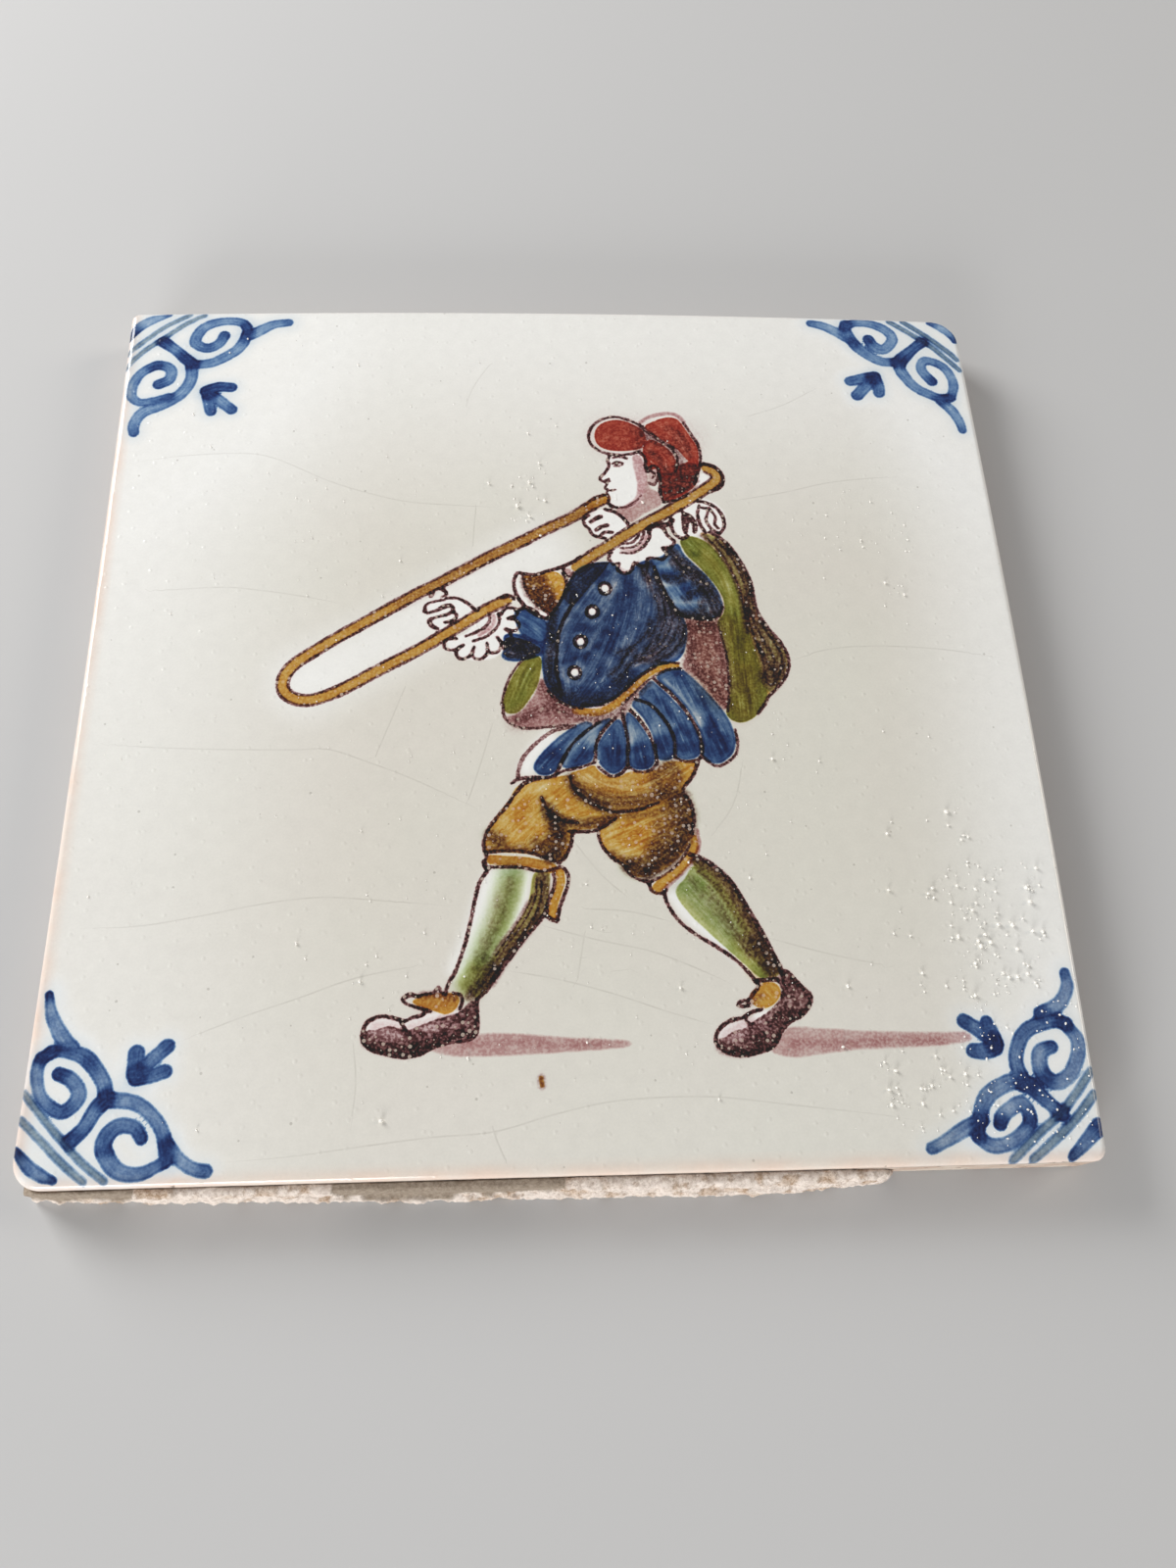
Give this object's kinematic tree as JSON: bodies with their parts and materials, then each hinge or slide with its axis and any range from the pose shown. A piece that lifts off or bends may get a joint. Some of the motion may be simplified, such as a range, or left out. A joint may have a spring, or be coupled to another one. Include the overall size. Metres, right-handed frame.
{
  "type": "tin-glazed wall tile",
  "caption": "Square hand-painted tin-glazed earthenware wall tile with a rounded glaze lip and old joint mortar along one side.",
  "frame": {"origin": "on the bare back face, under the middle of the nominal square tile", "axes": "+Z out of the glazed face, +X along the side that carries the mortar, +Y away from that side"},
  "size_m": [0.1308, 0.1332, 0.0075],
  "materials": {
    "tile": "gloss tin glaze on a pinkish buff earthenware body",
    "mortar": "matt crumbly lime mortar"
  },
  "bodies": {
    "root": {"tile": "tile", "mortar_remains": "mortar"}
  },
  "joints": []
}
